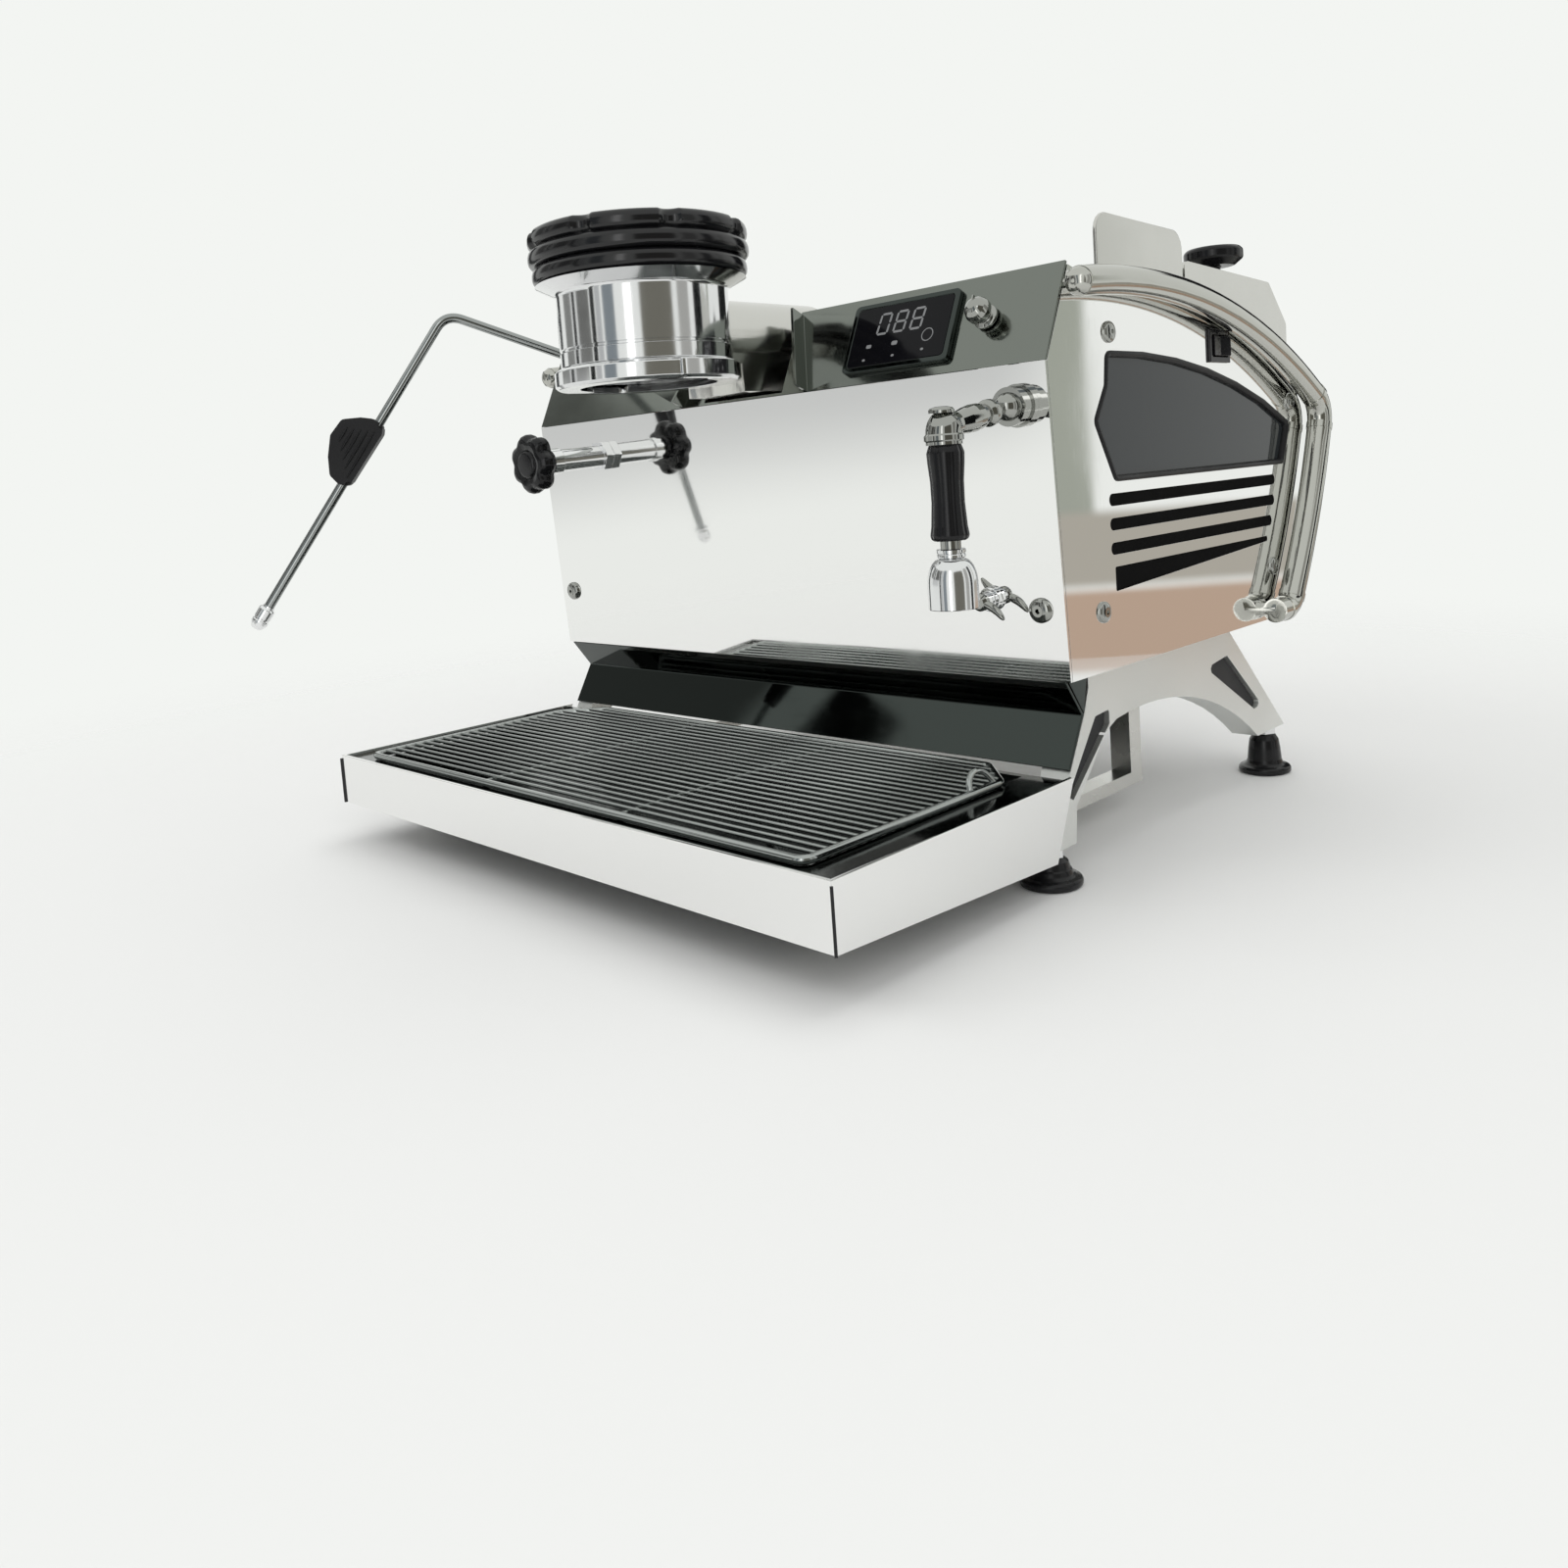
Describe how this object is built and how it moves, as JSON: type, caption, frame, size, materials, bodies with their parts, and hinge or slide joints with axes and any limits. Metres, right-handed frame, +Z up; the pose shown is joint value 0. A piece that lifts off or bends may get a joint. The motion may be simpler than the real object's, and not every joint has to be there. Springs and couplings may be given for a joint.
{
  "type": "espresso machine",
  "caption": "Counter-top espresso machine with a lever-style brew group, steam wand, hot-water spout, cup deck and pull-out drip tray.",
  "frame": {"origin": "on the counter under the middle of the machine's outline, the steam wand included", "axes": "+Z up, +Y to the rear, +X to the right as a user faces the machine"},
  "size_m": [0.48, 0.4819, 0.3333],
  "materials": {
    "polished_steel": "mirror polished",
    "smoked_steel": "mirror polished, dark",
    "satin_alloy": "fine satin",
    "inlay_black": "matt",
    "black_plastic": "semi-gloss",
    "rubber": "matt",
    "display_glass": "gloss",
    "smoked_pane": "gloss",
    "brass": "turned",
    "copper": "drawn tube",
    "boiler_steel": "brushed",
    "plated_steel": "zinc plated",
    "dark_paint": "satin",
    "board": "matt"
  },
  "bodies": {
    "chassis": {"base_pan": "plated_steel", "side_panel_right": "polished_steel", "side_panel_left": "polished_steel", "side_window_right": "smoked_pane", "side_window_left": "smoked_pane", "frame_tube_right": "polished_steel", "frame_tube_left": "polished_steel", "front_panel": "polished_steel", "control_panel": "smoked_steel", "backsplash": "smoked_steel", "top_deck": "polished_steel", "cup_rail": "polished_steel", "rear_panel": "polished_steel", "leg_right": "satin_alloy", "leg_left": "satin_alloy", "leg_inlays": "inlay_black", "foot_pads": "rubber", "foot_studs": "polished_steel", "tray_rails": "plated_steel", "group_neck": "polished_steel", "group_body": "polished_steel", "bayonet_ring": "polished_steel", "group_gasket": "rubber", "shower_screen": "polished_steel", "steam_valve": "polished_steel", "wand_socket": "polished_steel", "spout_socket": "polished_steel", "bleed_cock": "brass", "display_frame": "smoked_steel", "display_glass": "display_glass", "rocker_bezel": "black_plastic", "panel_screws": "polished_steel", "brew_boiler": "boiler_steel", "steam_boiler": "boiler_steel", "heating_elements": "brass", "pump": "brass", "pump_motor": "dark_paint", "solenoid_valve": "brass", "water_lines": "copper", "control_board": "board", "inlet_fitting": "brass", "power_inlet": "black_plastic"},
    "brew_ring": {"brew_ring": "black_plastic"},
    "steam_knob": {"steam_stem": "brass", "steam_knob": "black_plastic"},
    "wand_swivel": {"wand_swivel": "polished_steel"},
    "steam_wand": {"steam_wand": "polished_steel", "wand_grip": "rubber", "wand_tip": "polished_steel"},
    "spout": {"spout_arm": "polished_steel", "spout_sleeve": "black_plastic", "spout_bell": "polished_steel"},
    "bleed_lever": {"bleed_lever": "polished_steel"},
    "selector_knob": {"selector_knob": "polished_steel"},
    "rocker": {"rocker": "black_plastic"},
    "tray": {"tray_shell": "polished_steel", "tray_pan": "polished_steel"},
    "grate": {"tray_grate": "polished_steel"},
    "hood": {"hood_lid": "polished_steel", "hood_knob": "black_plastic"}
  },
  "joints": [
    {"name": "brew_ring_turn", "type": "hinge", "parent": "chassis", "child": "brew_ring", "pos_m": [0.02414, -0.1209, 0.326], "axis": [0, 0, 1], "range_deg": [0, 35]},
    {"name": "steam_knob_turn", "type": "hinge", "parent": "chassis", "child": "steam_knob", "pos_m": [-0.10786, -0.05407, 0.22179], "axis": [0, -0.9984, -0.057], "range_deg": [0, 270]},
    {"name": "wand_swivel_turn", "type": "hinge", "parent": "chassis", "child": "wand_swivel", "pos_m": [-0.11586, -0.04922, 0.27963], "axis": [0, -0.9068, 0.4216], "range_deg": [-35, 14]},
    {"name": "wand_tilt", "type": "hinge", "parent": "wand_swivel", "child": "steam_wand", "pos_m": [-0.11586, -0.04922, 0.27963], "axis": [1, 0, 0], "range_deg": [-12, 10]},
    {"name": "spout_turn", "type": "hinge", "parent": "chassis", "child": "spout", "pos_m": [0.20914, -0.06478, 0.22519], "axis": [0, 0, 1], "range_deg": [-60, 20]},
    {"name": "bleed_lever_turn", "type": "hinge", "parent": "chassis", "child": "bleed_lever", "pos_m": [0.18414, -0.04912, 0.13494], "axis": [0, -0.9984, -0.057], "range_deg": [0, 90]},
    {"name": "selector_turn", "type": "hinge", "parent": "chassis", "child": "selector_knob", "pos_m": [0.18714, -0.04444, 0.26858], "axis": [0, -0.9068, 0.4216], "range_deg": [-135, 135]},
    {"name": "rocker_press", "type": "hinge", "parent": "chassis", "child": "rocker", "pos_m": [0.22414, 0.1181, 0.25498], "axis": [0, 0, 1], "range_deg": [0, 10]},
    {"name": "tray_slide", "type": "slide", "parent": "chassis", "child": "tray", "axis": [0, -1, 0], "range_m": [0, 0.12]},
    {"name": "grate_lift", "type": "slide", "parent": "tray", "child": "grate", "axis": [0, 0, 1], "range_m": [0, 0.03]},
    {"name": "hood_lift", "type": "slide", "parent": "chassis", "child": "hood", "axis": [0, 0, 1], "range_m": [0, 0.04]}
  ]
}
